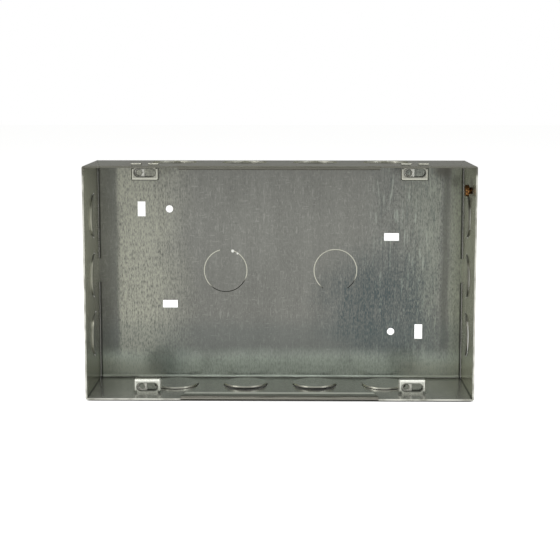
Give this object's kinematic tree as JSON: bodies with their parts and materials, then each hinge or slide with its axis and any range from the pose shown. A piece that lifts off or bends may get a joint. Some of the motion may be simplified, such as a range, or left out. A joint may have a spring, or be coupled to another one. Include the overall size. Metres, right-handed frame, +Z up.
{
  "type": "modular metal box",
  "caption": "Shallow open-fronted flush-mounting box of folded zinc-coated sheet, with conduit knockouts, screw lugs with sliding nuts and a brass earth screw.",
  "frame": {"origin": "centre of the back's outer face", "axes": "+X along the long walls to the right as seen from the front, +Y out of the back into the wall, +Z up"},
  "size_m": [0.2142, 0.05, 0.1296],
  "materials": {
    "sheet": "streaked hot-dip zinc",
    "lug": "bright zinc plate",
    "nut": "dull zinc plate",
    "earth_brass": "tarnished"
  },
  "bodies": {
    "box": {"box_body": "sheet", "lug_top_left": "lug", "lug_top_right": "lug", "lug_bottom_left": "lug", "lug_bottom_right": "lug", "earth_screw": "earth_brass"},
    "nut_top_left": {"nut_top_left": "nut"},
    "nut_top_right": {"nut_top_right": "nut"},
    "nut_bottom_left": {"nut_bottom_left": "nut"},
    "nut_bottom_right": {"nut_bottom_right": "nut"}
  },
  "joints": [
    {"name": "nut_top_left_slide", "type": "slide", "parent": "box", "child": "nut_top_left", "axis": [1, 0, 0], "range_m": [0, 0.0066]},
    {"name": "nut_top_right_slide", "type": "slide", "parent": "box", "child": "nut_top_right", "axis": [1, 0, 0], "range_m": [0, 0.0066]},
    {"name": "nut_bottom_left_slide", "type": "slide", "parent": "box", "child": "nut_bottom_left", "axis": [1, 0, 0], "range_m": [0, 0.0066]},
    {"name": "nut_bottom_right_slide", "type": "slide", "parent": "box", "child": "nut_bottom_right", "axis": [1, 0, 0], "range_m": [0, 0.0066]}
  ]
}
